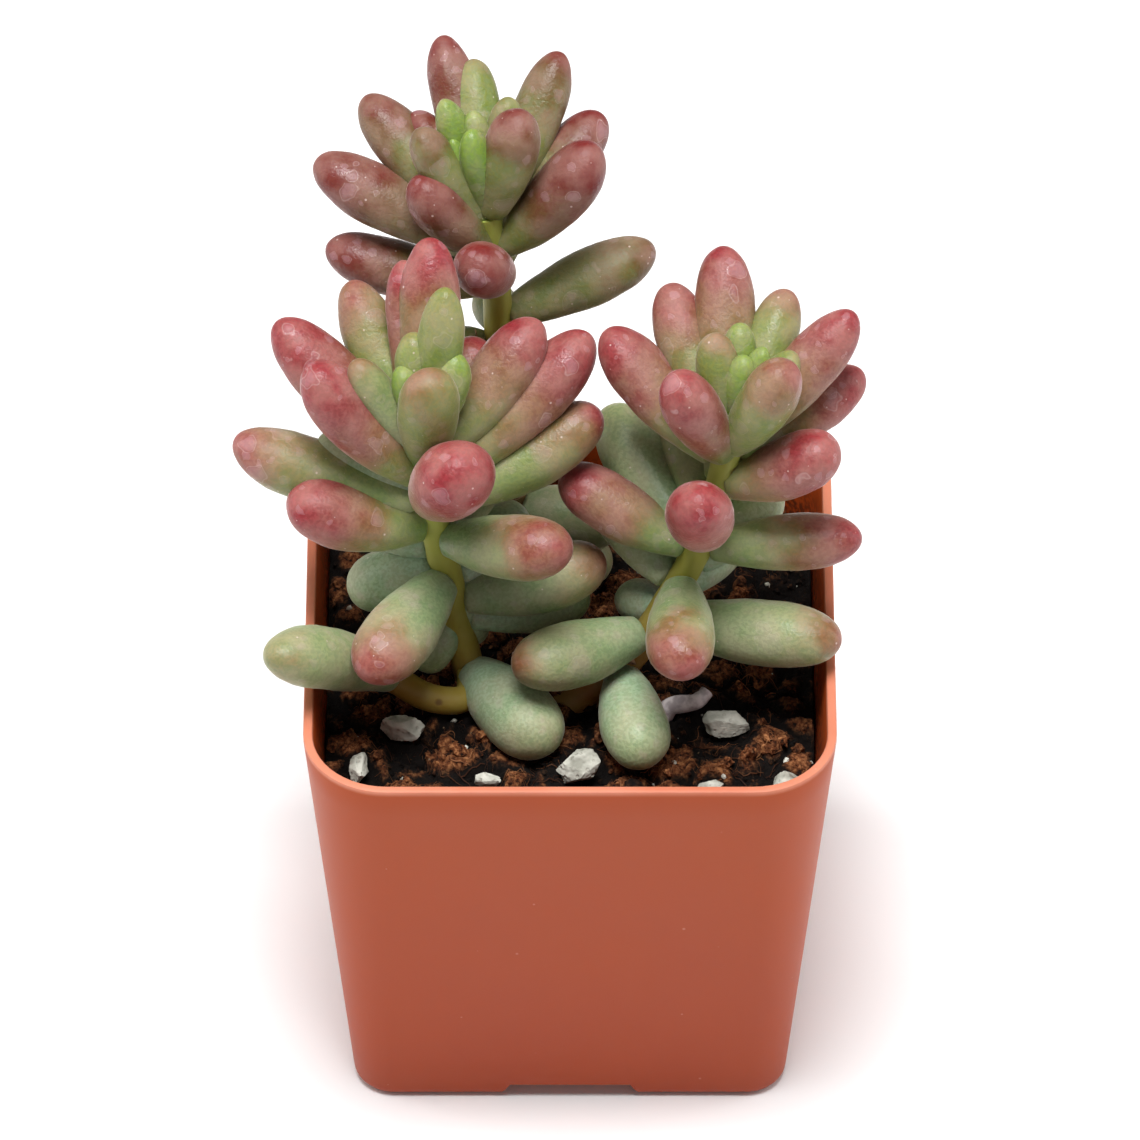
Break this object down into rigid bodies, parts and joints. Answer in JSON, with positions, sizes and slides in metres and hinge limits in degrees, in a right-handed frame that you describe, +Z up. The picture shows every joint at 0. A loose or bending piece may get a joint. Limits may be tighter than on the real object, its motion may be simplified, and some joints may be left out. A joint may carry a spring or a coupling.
{
  "type": "potted jelly bean sedum",
  "caption": "Square tapered plastic nursery pot with soil, pumice and upright stems of plump bean-shaped succulent leaves.",
  "frame": {"origin": "centre of the pot's flat underside", "axes": "+Z up, -Y towards the front of the pot, where the two low leaves hang over the soil"},
  "size_m": [0.0709, 0.0654, 0.1115],
  "materials": {
    "terracotta_plastic": "satin",
    "soil": "matt",
    "sedum_leaf": "waxy",
    "pumice": "rough",
    "dry_root": "matt"
  },
  "bodies": {
    "root": {"pot": "terracotta_plastic", "soil": "soil", "leafy_stem_left": "sedum_leaf", "leafy_stem_right": "sedum_leaf", "leafy_stem_back": "sedum_leaf", "pumice_1": "pumice", "pumice_2": "pumice", "pumice_3": "pumice", "pumice_4": "pumice", "pumice_5": "pumice", "pumice_6": "pumice", "pumice_7": "pumice", "pumice_8": "pumice", "pumice_9": "pumice", "root_piece": "dry_root"}
  },
  "joints": []
}
